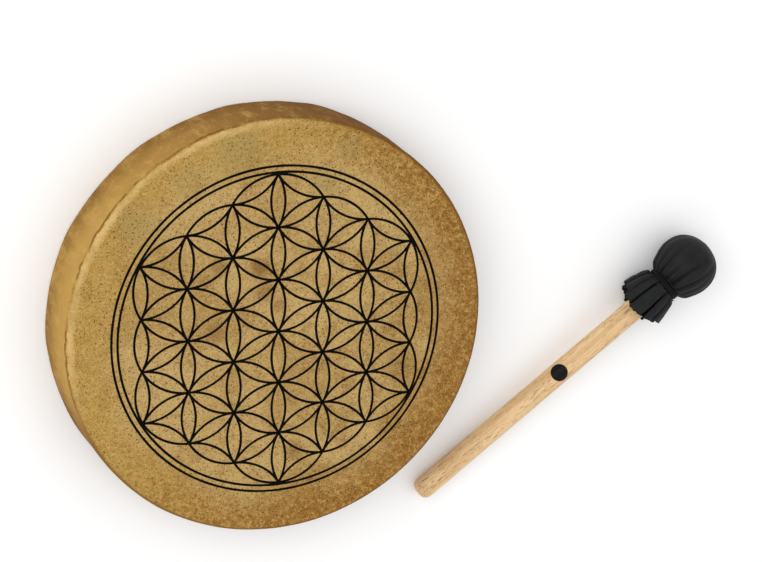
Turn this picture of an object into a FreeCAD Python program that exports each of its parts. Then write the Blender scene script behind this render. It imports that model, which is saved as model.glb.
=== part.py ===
import FreeCAD, Part

import math
import os

import Sketcher

V = FreeCAD.Vector
UP = V(0, 0, 1)

# Driving dimensions, in millimetres and degrees. The drum lies flat, head up, on the plane z = 0, and
# its beater lies on the same plane beside it. Everything else is worked out from these.
DRIVING = {
    # the hide and the hoop under it
    "drum_radius": 190.5,
    "drum_depth": 60.0,
    "skin_thickness": 1.4,
    "edge_rounding": 5.0,
    "foot_rounding": 3.0,
    "ply_thickness": 4.0,
    "ply_gap": 0.1,
    "ply_count": 3,
    "seam_angle": 0.2,
    "seam_stagger": 120.0,
    "bevel_start": 0.6,
    "bevel_slope": 0.55,
    # the turned-in edge of the hide
    "flange_inner_radius": 157.5,
    "flange_level_radius": 168.0,
    "flange_from_hoop": 2.4,
    "flange_rise": 3.6,
    "flange_bend": 6.0,
    "lace_circle_radius": 163.5,
    "lace_holes": 24,
    "lace_hole_radius": 2.1,
    # lace, ring and grips
    "lace_radius": 1.5,
    "lace_bend": 2.6,
    "lace_floor_gap": 0.2,
    "lace_meeting_gap": 0.15,
    "bundle_pitch": 3.2,
    "fan_bend": 14.0,
    "ring_radius": 20.0,
    "ring_wire_radius": 2.5,
    "ring_clearance": 0.2,
    "wrap_inner_end": 29.0,
    "wrap_outer_end": 70.0,
    "wrap_thickness": 1.5,
    "wrap_room": 0.15,
    "wrap_corner": 3.0,
    "knot_radius": 4.6,
    "knot_height": 5.5,
    "knot_from_axis": 23.5,
    # beater, measured along its own axis from the butt
    "stick_radius": 10.2,
    "stick_length": 335.0,
    "stick_rounding": 7.5,
    "ball_from_butt": 330.3,
    "ball_radius": 28.8,
    "core_radius": 18.0,
    "cover_thickness": 1.6,
    "waist_from_butt": 300.6,
    "neck_radius": 15.2,
    "neck_room": 0.05,
    "skirt_from_butt": 271.0,
    "skirt_radius": 24.0,
    "skirt_thickness": 3.0,
    "binding_cord_radius": 1.2,
    "binding_turns": 2,
    "binding_pitch": 2.45,
    "binding_from_waist": 1.9,
    "badge_from_butt": 174.0,
    "badge_radius": 8.1,
    "badge_gap": 0.05,
    "badge_thickness": 0.4,
    # where the beater lies: its butt end from the drum's axis, the way it points, and its roll
    "butt_x": 150.9,
    "butt_y": -198.4,
    "beater_heading": 37.37,
    "badge_roll": -31.3,
}

document = FreeCAD.newDocument("frame_drum")
sizes = document.addObject("Spreadsheet::Sheet", "sizes")
for row, (alias, number) in enumerate(DRIVING.items(), start=1):
    sizes.set(f"A{row}", alias)
    sizes.set(f"B{row}", str(number))
    sizes.setAlias(f"B{row}", alias)
document.recompute()

# Sizes that follow from the driving ones, as expressions on the sheet.
HOOP_OUTER = "(sizes.drum_radius - sizes.skin_thickness)"
HOOP_TOP = "(sizes.drum_depth - sizes.skin_thickness)"
HOOP_INNER = f"({HOOP_OUTER} - sizes.ply_count * sizes.ply_thickness)"
INNER_EDGE_ROUNDING = "(sizes.edge_rounding - sizes.skin_thickness)"
INNER_FOOT_ROUNDING = "(sizes.foot_rounding - sizes.skin_thickness)"
FLANGE_START = f"({HOOP_INNER} - sizes.flange_from_hoop)"
FLANGE_TOP = "(sizes.flange_rise + sizes.skin_thickness)"
STITCH_LEVEL = "(sizes.lace_floor_gap + sizes.lace_radius)"
LACE_LEVEL = f"({STITCH_LEVEL} + 2.2 * sizes.lace_bend)"
LAYER_OFFSET = "(sizes.ring_wire_radius + sizes.lace_radius + sizes.ring_clearance)"
BUNDLE_HALF_WIDTH = "(sizes.bundle_pitch + sizes.lace_radius)"
BUNDLE_HALF_HEIGHT = f"({LAYER_OFFSET} + sizes.lace_radius)"
WRAP_LENGTH = "sizes.wrap_outer_end - sizes.wrap_inner_end"
SKIRT_LENGTH = "(sizes.waist_from_butt - sizes.skirt_from_butt)"
INNER_BALL = "sizes.ball_radius - sizes.cover_thickness"
NECK_BORE = "sizes.stick_radius + sizes.neck_room"
ARMS = ["right", "top", "left", "bottom"]
QUARTER_TURN = 90


def value(expression):
    """The number that an expression on the sheet gives."""
    return float(sizes.evalExpression(expression))


def size(name):
    return value(f"sizes.{name}")


def bind(thing, **expressions):
    """Ties properties of a document object to the sheet."""
    for name, expression in expressions.items():
        thing.setExpression(name, expression)


# ---------------------------------------------------------------- where the drum and the beater lie

def beater_pitch():
    """The stick's tilt, in radians, when its rounded butt and the ball both rest on the table."""
    along = size("ball_from_butt") - size("stick_rounding")
    across = size("stick_radius") - size("stick_rounding")
    rise = size("ball_radius") - size("stick_rounding")
    return math.asin(rise / math.hypot(along, across)) - math.atan2(across, along)


def butt_height():
    """The height of the axis at the butt's end face, with the butt's rounding on the table."""
    return size("ball_radius") - size("ball_from_butt") * math.sin(beater_pitch())


def butt_reach_in_y():
    """How far the rounded butt reaches towards -Y from the end of its axis."""
    heading = math.radians(size("beater_heading"))
    flat = size("stick_radius") - size("stick_rounding")
    along = size("stick_rounding") * math.cos(beater_pitch())
    return flat * math.cos(heading) - along * math.sin(heading) + size("stick_rounding")


def set_centre():
    """The middle, in plan, of the box round the drum and the beater, from the drum's axis."""
    heading = math.radians(size("beater_heading"))
    reach = size("ball_from_butt") * math.cos(beater_pitch()) * math.cos(heading)
    highest_x = size("butt_x") + reach + size("ball_radius")
    lowest_y = size("butt_y") - butt_reach_in_y()
    return V((highest_x - size("drum_radius")) / 2, (size("drum_radius") + lowest_y) / 2, 0)


def shifted(x=0.0, y=0.0, z=0.0, rotation=None):
    return FreeCAD.Placement(V(x, y, z), rotation or FreeCAD.Rotation())


def turned_about_axis(degrees):
    return shifted(rotation=FreeCAD.Rotation(UP, degrees))


def beater_placement():
    """From the beater's own frame (axis +X from the butt, badge side +Z) to its place on the table."""
    heading = FreeCAD.Rotation(UP, size("beater_heading"))
    pitch = FreeCAD.Rotation(V(0, 1, 0), -math.degrees(beater_pitch()))
    roll = FreeCAD.Rotation(V(1, 0, 0), size("badge_roll"))
    rotation = heading.multiply(pitch).multiply(roll)
    return shifted(size("butt_x"), size("butt_y"), butt_height(), rotation)


DRUM_PLACE = FreeCAD.Placement(-set_centre(), FreeCAD.Rotation())
BEATER_PLACE = DRUM_PLACE.multiply(beater_placement())

nodes = []


def keep(thing, label, placement):
    """Names a finished sub-part and puts it in its place."""
    thing.Label = label
    thing.Placement = placement.multiply(thing.Placement)
    nodes.append(thing)


# ---------------------------------------------------------------- sketches and features

def new_sketch(body, name, role):
    plane = next(feature for feature in body.Origin.OriginFeatures if feature.Role == role)
    sketch = body.newObject("Sketcher::SketchObject", name)
    sketch.AttachmentSupport = (plane, [""])
    sketch.MapMode = "FlatFace"
    return sketch


def constrain(sketch, name, kind, references, expression):
    """Adds a named dimension to a sketch and ties it to the sheet."""
    sketch.addConstraint(Sketcher.Constraint(kind, *references, value(expression)))
    sketch.renameConstraint(sketch.ConstraintCount - 1, name)
    sketch.setExpression(f"Constraints.{name}", expression)


def draw_polygon(sketch, corners):
    """Draws a closed outline whose corners are pairs of sheet expressions."""
    first = sketch.GeometryCount
    count = len(corners)
    points = [V(value(x), value(y), 0) for x, y in corners]
    for index in range(count):
        sketch.addGeometry(Part.LineSegment(points[index], points[(index + 1) % count]), False)
    for index in range(count):
        following = first + (index + 1) % count
        sketch.addConstraint(Sketcher.Constraint("Coincident", first + index, 2, following, 1))
    for index, (x, y) in enumerate(corners):
        corner = first + index
        constrain(sketch, f"corner_{corner}_across", "DistanceX", (-1, 1, corner, 1), x)
        constrain(sketch, f"corner_{corner}_up", "DistanceY", (-1, 1, corner, 1), y)


def draw_circle(sketch, distance, radius):
    """Draws a circle on the sketch's own first axis."""
    centre = V(value(distance), 0, 0)
    circle = sketch.addGeometry(Part.Circle(centre, UP, value(radius)), False)
    sketch.addConstraint(Sketcher.Constraint("PointOnObject", circle, 3, -1))
    constrain(sketch, "circle_distance", "DistanceX", (-1, 1, circle, 3), distance)
    constrain(sketch, "circle_radius", "Radius", (circle,), radius)


def turned_body(name, corners, angle="360"):
    """A body turned about +Z from one closed outline of (radius, height) corners."""
    body = document.addObject("PartDesign::Body", name + "_body")
    sketch = new_sketch(body, name + "_outline", "XZ_Plane")
    draw_polygon(sketch, corners)
    turn = body.newObject("PartDesign::Revolution", name + "_turn")
    turn.Profile = sketch
    turn.ReferenceAxis = (sketch, ["V_Axis"])
    bind(turn, Angle=angle)
    document.recompute()
    return body


def round_edges(body, name, is_wanted, radius):
    """Rounds the edges of a body's last feature that pass a test."""
    base = body.Tip
    edges = enumerate(base.Shape.Edges, start=1)
    wanted = [f"Edge{index}" for index, edge in edges if is_wanted(edge)]
    if not wanted:
        raise RuntimeError(f"{name} has no edge to round")
    rounding = body.newObject("PartDesign::Fillet", name)
    rounding.Base = (base, wanted)
    bind(rounding, Radius=radius)
    body.Tip = rounding
    document.recompute()


def on_circles(*circles):
    """A test for the round edges of a turned body, each given as (radius, height) expressions."""
    wanted = [(value(radius), value(height)) for radius, height in circles]

    def test(edge):
        if not isinstance(edge.Curve, Part.Circle):
            return False
        found = (edge.Curve.Radius, edge.Curve.Center.z)
        return any(math.dist(found, circle) < 0.01 for circle in wanted)

    return test


# ---------------------------------------------------------------- the drum

def make_skin():
    """The hide: head, side and turned-in edge, rounded at the head and the foot, with lace holes."""
    outer = "sizes.drum_radius"
    depth = "sizes.drum_depth"
    thick = "sizes.skin_thickness"
    rise = "sizes.flange_rise"
    lip = "sizes.flange_inner_radius"
    level = "sizes.flange_level_radius"
    upper_level = "sizes.flange_level_radius + 0.3 * sizes.skin_thickness"
    upper_start = f"{FLANGE_START} + 0.3 * sizes.skin_thickness"
    body = turned_body("skin", [
        ("0", depth), (outer, depth), (outer, "0"), (FLANGE_START, "0"), (level, rise), (lip, rise),
        (lip, FLANGE_TOP), (upper_level, FLANGE_TOP), (upper_start, thick),
        (HOOP_OUTER, thick), (HOOP_OUTER, HOOP_TOP), ("0", HOOP_TOP),
    ])
    flange_bends = on_circles(
        (FLANGE_START, "0"), (level, rise), (upper_level, FLANGE_TOP), (upper_start, thick))
    round_edges(body, "skin_inner_edge", on_circles((HOOP_OUTER, HOOP_TOP)), INNER_EDGE_ROUNDING)
    round_edges(body, "skin_outer_edge", on_circles((outer, depth)), "sizes.edge_rounding")
    round_edges(body, "skin_inner_foot", on_circles((HOOP_OUTER, thick)), INNER_FOOT_ROUNDING)
    round_edges(body, "skin_outer_foot", on_circles((outer, "0")), "sizes.foot_rounding")
    round_edges(body, "skin_flange_bends", flange_bends, "sizes.flange_bend")
    cut_lace_holes(body)
    body.Placement = turned_about_axis(180 / size("lace_holes"))
    keep(body, "drum_skin", DRUM_PLACE)


def cut_lace_holes(body):
    """One hole through the turned-in edge, repeated all the way round."""
    hole = new_sketch(body, "lace_hole", "XY_Plane")
    draw_circle(hole, "sizes.lace_circle_radius", "sizes.lace_hole_radius")
    pocket = body.newObject("PartDesign::Pocket", "lace_hole_cut")
    pocket.Profile = hole
    pocket.Reversed = True
    bind(pocket, Length=f"{FLANGE_TOP} + sizes.skin_thickness")
    document.recompute()
    uncut = body.Tip.BaseFeature.Shape.Volume
    ring = body.newObject("PartDesign::PolarPattern", "lace_hole_ring")
    ring.Originals = [pocket]
    ring.Axis = (hole, ["N_Axis"])
    ring.Angle = 360
    bind(ring, Occurrences="sizes.lace_holes")
    body.Tip = ring
    document.recompute()
    removed = uncut - body.Shape.Volume
    one_hole = math.pi * size("lace_hole_radius") ** 2 * size("skin_thickness")
    if abs(removed / (one_hole * size("lace_holes")) - 1) > 0.01:
        raise RuntimeError("the lace holes are not all cut")


def make_plies():
    """Three bent strips glued into one hoop. Each closes in a seam, and the seams are staggered. The
    outer ply carries the rounded edge that bears the head, and the others fall away from it."""
    bottom = "sizes.skin_thickness"
    for index, name in enumerate(["hoop_outer_ply", "hoop_middle_ply", "hoop_inner_ply"]):
        outer = f"({HOOP_OUTER} - {index} * sizes.ply_thickness)"
        inner = f"({outer} - sizes.ply_thickness + sizes.ply_gap)"
        width = "(sizes.ply_thickness - sizes.ply_gap)"
        if index == 0:
            outer_top = HOOP_TOP
            inner_top = HOOP_TOP
        else:
            fall = f"sizes.bevel_slope * {index - 1} * sizes.ply_thickness"
            outer_top = f"({HOOP_TOP} - sizes.bevel_start - {fall})"
            inner_top = f"({outer_top} - sizes.bevel_slope * {width})"
        corners = [(inner, bottom), (outer, bottom), (outer, outer_top), (inner, inner_top)]
        body = turned_body(name, corners, angle="360 - sizes.seam_angle")
        if index == 0:
            round_edges(body, "bearing_edge", on_circles((outer, HOOP_TOP)), INNER_EDGE_ROUNDING)
            round_edges(body, "hoop_foot", on_circles((outer, bottom)), INNER_FOOT_ROUNDING)
        body.Placement = turned_about_axis(size("seam_stagger") * (index + 0.3))
        keep(body, name, DRUM_PLACE)


def make_ring():
    ring = document.addObject("Part::Torus", "ring")
    bind(ring, Radius1="sizes.ring_radius", Radius2="sizes.ring_wire_radius")
    ring.Placement = shifted(z=value(LACE_LEVEL))
    keep(ring, "centre_ring", DRUM_PLACE)


def rounded_path(points, radii):
    """Straight runs through points, with a tangent arc of the given radius at each inner point."""
    edges = []
    cursor = points[0]
    for before, corner, after, radius in zip(points, points[1:], points[2:], radii):
        to_before = (before - corner).normalize()
        to_after = (after - corner).normalize()
        half = to_before.getAngle(to_after) / 2
        trim = radius / math.tan(half)
        bisector = (to_before + to_after).normalize()
        centre = corner + bisector * (radius / math.sin(half))
        start = corner + to_before * trim
        end = corner + to_after * trim
        if (start - cursor).Length > 1e-4:
            edges.append(Part.LineSegment(cursor, start).toShape())
        edges.append(Part.Arc(start, centre - bisector * radius, end).toShape())
        cursor = end
    edges.append(Part.LineSegment(cursor, points[-1]).toShape())
    return Part.Wire(edges)


def tube(path, start, along, radius):
    """A round lace along a path, checked by its volume."""
    section = Part.Wire([Part.Circle(start, along, radius).toShape()])
    solid = path.makePipeShell([section], True, False)
    expected = math.pi * radius ** 2 * path.Length
    if abs(solid.Volume / expected - 1) > 0.02:
        raise RuntimeError(f"lace volume {solid.Volume:.1f}, expected {expected:.1f}")
    return solid


def on_lace_circle(degrees, level):
    angle = math.radians(degrees)
    radius = size("lace_circle_radius")
    return V(radius * math.cos(angle), radius * math.sin(angle), level)


def lace_length(first_hole, second_hole, lateral):
    """One length of lace: from a stitch under the hide's edge, up through a hole, in along the top of
    the bundle, round the ring's wire, and back out below to the next hole and its stitch. It is drawn
    for the bundle that lies along +X."""
    stitch = value(STITCH_LEVEL)
    level = value(LACE_LEVEL)
    offset = value(LAYER_OFFSET)
    bend = size("lace_bend")
    fan = size("fan_bend")
    fan_start = size("wrap_outer_end") + 0.65 * fan
    ring_wire = math.sqrt(size("ring_radius") ** 2 - lateral ** 2)
    hole_step = 360 / size("lace_holes")
    stitch_turn = hole_step / 2 - math.degrees(size("lace_meeting_gap") / size("lace_circle_radius"))
    points = [
        on_lace_circle(first_hole - stitch_turn, stitch),
        on_lace_circle(first_hole, stitch),
        on_lace_circle(first_hole, level),
        V(fan_start, lateral, level + offset),
        V(ring_wire - offset, lateral, level + offset),
        V(ring_wire - offset, lateral, level - offset),
        V(fan_start, lateral, level - offset),
        on_lace_circle(second_hole, level),
        on_lace_circle(second_hole, stitch),
        on_lace_circle(second_hole + stitch_turn, stitch),
    ]
    round_ring = offset * 0.999
    radii = [bend, bend, fan, round_ring, round_ring, fan, bend, bend]
    path = rounded_path(points, radii)
    return tube(path, points[0], points[1] - points[0], size("lace_radius"))


def make_lacing():
    """Four bundles of three lengths. Each length fills two neighbouring holes, and meets the next
    length end to end in the stitch between their holes."""
    hole_step = 360 / size("lace_holes")
    holes_per_arm = int(size("lace_holes")) // len(ARMS)
    first_hole = -hole_step * (holes_per_arm - 1) / 2
    for arm, side in enumerate(ARMS):
        lengths = []
        for pair in range(holes_per_arm // 2):
            hole = first_hole + 2 * pair * hole_step
            lateral = (pair - 1) * size("bundle_pitch")
            lengths.append(lace_length(hole, hole + hole_step, lateral))
        bundle = document.addObject("Part::Feature", "bundle_" + side)
        bundle.Shape = Part.makeCompound(lengths)
        bundle.Placement = turned_about_axis(QUARTER_TURN * arm)
        keep(bundle, "lacing_" + side, DRUM_PLACE)


def rectangle(half_width, half_height):
    """Four corners about the origin, as expressions."""
    return [(f"-({half_width})", f"-({half_height})"), (half_width, f"-({half_height})"),
            (half_width, half_height), (f"-({half_width})", half_height)]


def lengthwise_at(half_width, half_height):
    """A test for the long edges of a sleeve along +X at the corners of a rectangle."""
    corner = (value(half_width), value(half_height))

    def test(edge):
        ends = [vertex.Point for vertex in edge.Vertexes]
        if len(ends) < 2 or abs(ends[0].x - ends[1].x) < 1:
            return False
        return math.dist((abs(ends[0].y), abs(ends[0].z)), corner) < 0.01

    return test


def make_wraps():
    """Suede sleeves, wound round each bundle between the ring and the place where it fans out."""
    inner_width = f"{BUNDLE_HALF_WIDTH} + sizes.wrap_room"
    inner_height = f"{BUNDLE_HALF_HEIGHT} + sizes.wrap_room"
    outer_width = f"{inner_width} + sizes.wrap_thickness"
    outer_height = f"{inner_height} + sizes.wrap_thickness"
    for arm, side in enumerate(ARMS):
        body = document.addObject("PartDesign::Body", "grip_body_" + side)
        outside = new_sketch(body, "grip_outside_" + side, "YZ_Plane")
        draw_polygon(outside, rectangle(outer_width, outer_height))
        pad = body.newObject("PartDesign::Pad", "grip_length_" + side)
        pad.Profile = outside
        bind(pad, Length=WRAP_LENGTH)
        document.recompute()
        inside = new_sketch(body, "grip_inside_" + side, "YZ_Plane")
        draw_polygon(inside, rectangle(inner_width, inner_height))
        hollow = body.newObject("PartDesign::Pocket", "grip_hollow_" + side)
        hollow.Profile = inside
        hollow.Reversed = True
        bind(hollow, Length=WRAP_LENGTH)
        body.Tip = hollow
        document.recompute()
        inner_corners = lengthwise_at(inner_width, inner_height)
        outer_corners = lengthwise_at(outer_width, outer_height)
        round_edges(body, "grip_inner_corners_" + side, inner_corners, "sizes.lace_radius - sizes.wrap_room")
        round_edges(body, "grip_outer_corners_" + side, outer_corners, "sizes.wrap_corner")
        lie = shifted(x=size("wrap_inner_end"), z=value(LACE_LEVEL))
        body.Placement = turned_about_axis(QUARTER_TURN * arm).multiply(lie)
        keep(body, "grip_wrap_" + side, DRUM_PLACE)


def make_knot():
    """The tied-off end of the lace, on top of the right-hand bundle beside the ring."""
    knot = document.addObject("Part::Ellipsoid", "knot")
    bind(knot, Radius1="sizes.knot_height / 2", Radius2="sizes.knot_radius")
    bind(knot, Radius3="sizes.knot_radius * 0.8")
    above = f"{LACE_LEVEL} + {BUNDLE_HALF_HEIGHT} + sizes.knot_height / 2 + sizes.ply_gap"
    knot.Placement = shifted(x=size("knot_from_axis"), z=value(above))
    keep(knot, "lacing_knot", DRUM_PLACE)


# ---------------------------------------------------------------- the beater, along its own +X axis

ALONG_STICK = FreeCAD.Rotation(V(0, 1, 0), 90)


def rod(name, radius, length, start="0"):
    """A cylinder along the stick's axis."""
    piece = document.addObject("Part::Cylinder", name)
    bind(piece, Radius=radius, Height=length)
    piece.Placement = shifted(x=value(start), rotation=ALONG_STICK)
    return piece


def cone(name, first_radius, second_radius, length, start):
    """A cone along the stick's axis."""
    piece = document.addObject("Part::Cone", name)
    bind(piece, Radius1=first_radius, Radius2=second_radius, Height=length)
    piece.Placement = shifted(x=value(start), rotation=ALONG_STICK)
    return piece


def ball(name, radius):
    """A sphere about the middle of the beater's head."""
    piece = document.addObject("Part::Sphere", name)
    bind(piece, Radius=radius)
    piece.Placement = shifted(x=size("ball_from_butt"))
    return piece


def fused(name, pieces):
    whole_piece = document.addObject("Part::MultiFuse", name)
    whole_piece.Shapes = pieces
    return whole_piece


def combined(kind, name, base, tool):
    """A Part::Cut or Part::Common of two pieces."""
    result = document.addObject(kind, name)
    result.Base = base
    result.Tool = tool
    document.recompute()
    return result


def make_dowel():
    """The stick's dowel, with its butt rounded."""
    body = document.addObject("PartDesign::Body", "stick_body")
    sketch = new_sketch(body, "stick_section", "YZ_Plane")
    draw_circle(sketch, "0", "sizes.stick_radius")
    pad = body.newObject("PartDesign::Pad", "stick_dowel")
    pad.Profile = sketch
    bind(pad, Length="sizes.stick_length")
    body.Tip = pad
    document.recompute()
    round_edges(body, "stick_butt", lambda edge: abs(edge.BoundBox.XMax) < 0.01, "sizes.stick_rounding")
    return body


def surface_disc(name, disc_radius, outer_radius):
    """A round piece of the stick's surface layer, on its +Z side."""
    disc = document.addObject("Part::Cylinder", name + "_disc")
    bind(disc, Radius=disc_radius, Height="2 * sizes.stick_radius")
    disc.Placement = shifted(x=size("badge_from_butt"))
    inside = rod(name + "_inside", "sizes.stick_radius - sizes.badge_thickness", "sizes.stick_length")
    outside = rod(name + "_outside", outer_radius, "sizes.stick_length")
    layer = combined("Part::Cut", name + "_layer", outside, inside)
    return combined("Part::Common", name, disc, layer)


def make_stick_and_badge():
    """The stick with a shallow recess, and the round badge that fills it flush."""
    recess = surface_disc("recess", "sizes.badge_radius", "sizes.stick_radius + 1")
    stick = combined("Part::Cut", "stick", make_dowel(), recess)
    keep(stick, "beater_stick", BEATER_PLACE)
    badge = surface_disc("badge", "sizes.badge_radius - sizes.badge_gap", "sizes.stick_radius")
    keep(badge, "beater_badge", BEATER_PLACE)


def make_core():
    """The firm ball on the end of the stick."""
    bore = rod("core_bore", "sizes.stick_radius", "sizes.stick_length")
    core = combined("Part::Cut", "core", ball("core_ball", "sizes.core_radius"), bore)
    keep(core, "beater_core", BEATER_PLACE)


def make_padding():
    """The soft layer between the core and the cover, open at the neck for the stick."""
    bore = rod("padding_bore", "sizes.stick_radius", "sizes.stick_length")
    inside = fused("padding_inside", [ball("padding_hollow", "sizes.core_radius"), bore])
    padding = combined("Part::Cut", "padding", ball("padding_ball", INNER_BALL), inside)
    keep(padding, "beater_padding", BEATER_PLACE)


def make_cover():
    """One leather round: a shell over the ball, drawn in at the neck, then flared into a skirt."""
    waist = "sizes.waist_from_butt"
    to_ball = "sizes.ball_from_butt - sizes.waist_from_butt"
    hem_inside = "sizes.skirt_radius - sizes.skirt_thickness"
    outside = fused("cover_outside", [
        ball("cover_ball", "sizes.ball_radius"),
        rod("cover_neck", "sizes.neck_radius", to_ball, waist),
        cone("cover_skirt", "sizes.skirt_radius", "sizes.neck_radius", SKIRT_LENGTH, "sizes.skirt_from_butt"),
    ])
    inside = fused("cover_inside", [
        ball("cover_hollow", INNER_BALL),
        rod("cover_bore", NECK_BORE, "sizes.ball_from_butt"),
        cone("skirt_inside", hem_inside, NECK_BORE, SKIRT_LENGTH, "sizes.skirt_from_butt"),
    ])
    cover = combined("Part::Cut", "cover", outside, inside)
    keep(cover, "beater_cover", BEATER_PLACE)


def make_binding():
    """Turns of waxed cord round the neck, side by side."""
    turns = []
    for index in range(int(size("binding_turns"))):
        turn = document.addObject("Part::Torus", f"binding_turn_{index + 1}")
        bind(turn, Radius1="sizes.neck_radius + sizes.binding_cord_radius + 0.02")
        bind(turn, Radius2="sizes.binding_cord_radius")
        along = size("waist_from_butt") + size("binding_from_waist") + index * size("binding_pitch")
        turn.Placement = shifted(x=along, rotation=ALONG_STICK)
        turns.append(turn)
    binding = document.addObject("Part::Compound", "binding")
    binding.Links = turns
    keep(binding, "beater_binding", BEATER_PLACE)


# ---------------------------------------------------------------- build, check and write

def check_document():
    for thing in document.Objects:
        faults = {"Invalid", "Error"} & set(thing.State)
        if faults:
            raise RuntimeError(f"{thing.Name}: {sorted(faults)}")
    for node in nodes:
        if node.Shape.isNull() or not node.Shape.isValid():
            raise RuntimeError(f"{node.Label} has no valid shape")


def write_parts():
    os.makedirs("parts", exist_ok=True)
    whole = FreeCAD.BoundBox()
    for node in nodes:
        node.Shape.exportStep(f"parts/{node.Label}.step")
        whole.add(node.Shape.optimalBoundingBox())
        print(f"{node.Label}: {len(node.Shape.Solids)} solids, {node.Shape.Volume / 1000:.2f} cm3")
    print("whole set:", whole)


make_skin()
make_plies()
make_ring()
make_lacing()
make_wraps()
make_knot()
make_stick_and_badge()
make_core()
make_padding()
make_cover()
make_binding()
document.recompute()
check_document()
write_parts()
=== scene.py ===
"""Looks of a laced frame drum and its leather-headed beater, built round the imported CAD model."""

import math
import random

import bmesh
import bpy
from mathutils import Matrix, Vector, noise


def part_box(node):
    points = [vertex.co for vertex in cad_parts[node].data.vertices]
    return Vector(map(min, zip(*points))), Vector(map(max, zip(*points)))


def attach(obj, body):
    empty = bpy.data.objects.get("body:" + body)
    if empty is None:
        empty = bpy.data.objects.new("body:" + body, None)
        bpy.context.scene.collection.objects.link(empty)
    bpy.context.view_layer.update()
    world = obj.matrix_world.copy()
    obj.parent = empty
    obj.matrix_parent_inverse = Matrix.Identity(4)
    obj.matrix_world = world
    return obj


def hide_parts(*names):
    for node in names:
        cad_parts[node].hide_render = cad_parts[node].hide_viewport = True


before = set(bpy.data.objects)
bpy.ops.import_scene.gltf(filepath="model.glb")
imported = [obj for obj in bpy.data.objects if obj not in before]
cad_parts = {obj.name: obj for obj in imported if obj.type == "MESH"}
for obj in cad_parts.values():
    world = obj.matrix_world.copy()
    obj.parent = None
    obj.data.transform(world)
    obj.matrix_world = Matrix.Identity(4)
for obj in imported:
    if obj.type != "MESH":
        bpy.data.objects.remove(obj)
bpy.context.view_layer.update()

MM = 0.001
UP = Vector((0, 0, 1))
FULL_TURN = 2 * math.pi

# The drum, from the frame: its axis is the middle of the hide, and its head faces up.
SKIN_LOW, SKIN_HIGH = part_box("drum_skin")
DRUM_CENTRE = Vector(((SKIN_LOW.x + SKIN_HIGH.x) / 2, (SKIN_LOW.y + SKIN_HIGH.y) / 2, 0))
DRUM_RADIUS = (SKIN_HIGH.x - SKIN_LOW.x) / 2
DRUM_DEPTH = SKIN_HIGH.z
SKIN_THICKNESS = 1.4 * MM
EDGE_ROUNDING = 5 * MM
FOOT_ROUNDING = 3 * MM
FLANGE_START = 174.7 * MM
FLANGE_LEVEL = 168.6 * MM
FLANGE_RISE = 3.6 * MM
LACE_CIRCLE = 163.5 * MM
LACE_HOLE = 2.1 * MM
LACE_HOLES = 24
LIP_RADIUS = 157.5 * MM

# The printed pattern: circles of one radius about the points of a triangular lattice, in two rings.
CIRCLE_RADIUS = 47.5 * MM
LATTICE_RINGS = 3
RING_RADII = (3.04 * CIRCLE_RADIUS, 3.155 * CIRCLE_RADIUS)
LINE_WIDTH = 2.15 * MM
PATTERN_OFFSET = Vector((-0.5 * MM, -2 * MM, 0))
PATTERN_TURN = math.radians(-0.79)

# The beater, from the frame: the core's middle is the head's centre, and the binding lies towards the butt.
CORE_LOW, CORE_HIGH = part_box("beater_core")
BINDING_LOW, BINDING_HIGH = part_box("beater_binding")
HEAD_CENTRE = (CORE_LOW + CORE_HIGH) / 2
BINDING_CENTRE = (BINDING_LOW + BINDING_HIGH) / 2
BEATER_AXIS = (HEAD_CENTRE - BINDING_CENTRE).normalized()
BALL_RADIUS = HEAD_CENTRE.z
NECK_RADIUS = 15.2 * MM
BINDING_ALONG = -(HEAD_CENTRE - BINDING_CENTRE).length
WAIST_ALONG = -29.7 * MM
HEM_ALONG = -61.2 * MM
HEM_VARIES = 6.0 * MM
HEM_LONGEST = math.radians(63)

# The camera, in the turned frame of somebody who looks straight at the head.
CAMERA_YAW = math.radians(-20.42)
CAMERA_PITCH = math.radians(18.40)
CAMERA_DISTANCE = 2093.8 * MM
CAMERA_RIGHT = 89.8 * MM
CAMERA_UP = 44.0 * MM
CAMERA_LENS = 113.1


# ---------------------------------------------------------------- meshes

def mesh_object(name, vertices, faces):
    """A smooth-shaded mesh whose faces all look outwards."""
    mesh = bpy.data.meshes.new(name)
    mesh.from_pydata([tuple(vertex) for vertex in vertices], [], [tuple(face) for face in faces])
    work = bmesh.new()
    work.from_mesh(mesh)
    bmesh.ops.recalc_face_normals(work, faces=work.faces)
    work.to_mesh(mesh)
    work.free()
    mesh.shade_smooth()
    made = bpy.data.objects.new(name, mesh)
    bpy.context.scene.collection.objects.link(made)
    return made


def finish_piece(piece, body, slot, material, *nodes):
    """Gives a piece its material and its body, and hides the CAD nodes that it stands for. The slot is not
    used.
    """
    piece.data.materials.clear()
    piece.data.materials.append(material)
    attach(piece, body)
    if nodes:
        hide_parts(*nodes)
    return piece


def apply_modifiers(piece):
    """Puts what the modifiers make into the mesh itself."""
    evaluated = piece.evaluated_get(bpy.context.evaluated_depsgraph_get())
    mesh = bpy.data.meshes.new_from_object(evaluated)
    piece.modifiers.clear()
    piece.data = mesh


def smooth_noise(x, y, z=0.0):
    """Smooth noise from -1 to 1 that changes over a distance of about one."""
    return noise.noise(Vector((x, y, z)))


def smooth_step(low, high, number):
    share = min(max((number - low) / (high - low), 0.0), 1.0)
    return share * share * (3 - 2 * share)


def bell(distance, width):
    return math.exp(-(distance / width) ** 2)


def grid_faces(rows, columns, closed=False):
    """Quads between rows of vertices, each of which runs round. If closed, the last row meets the first."""
    faces = []
    for row in range(rows if closed else rows - 1):
        first = row * columns
        second = (row + 1) % rows * columns
        for column in range(columns):
            following = (column + 1) % columns
            faces.append((first + column, first + following, second + following, second + column))
    return faces


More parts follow.
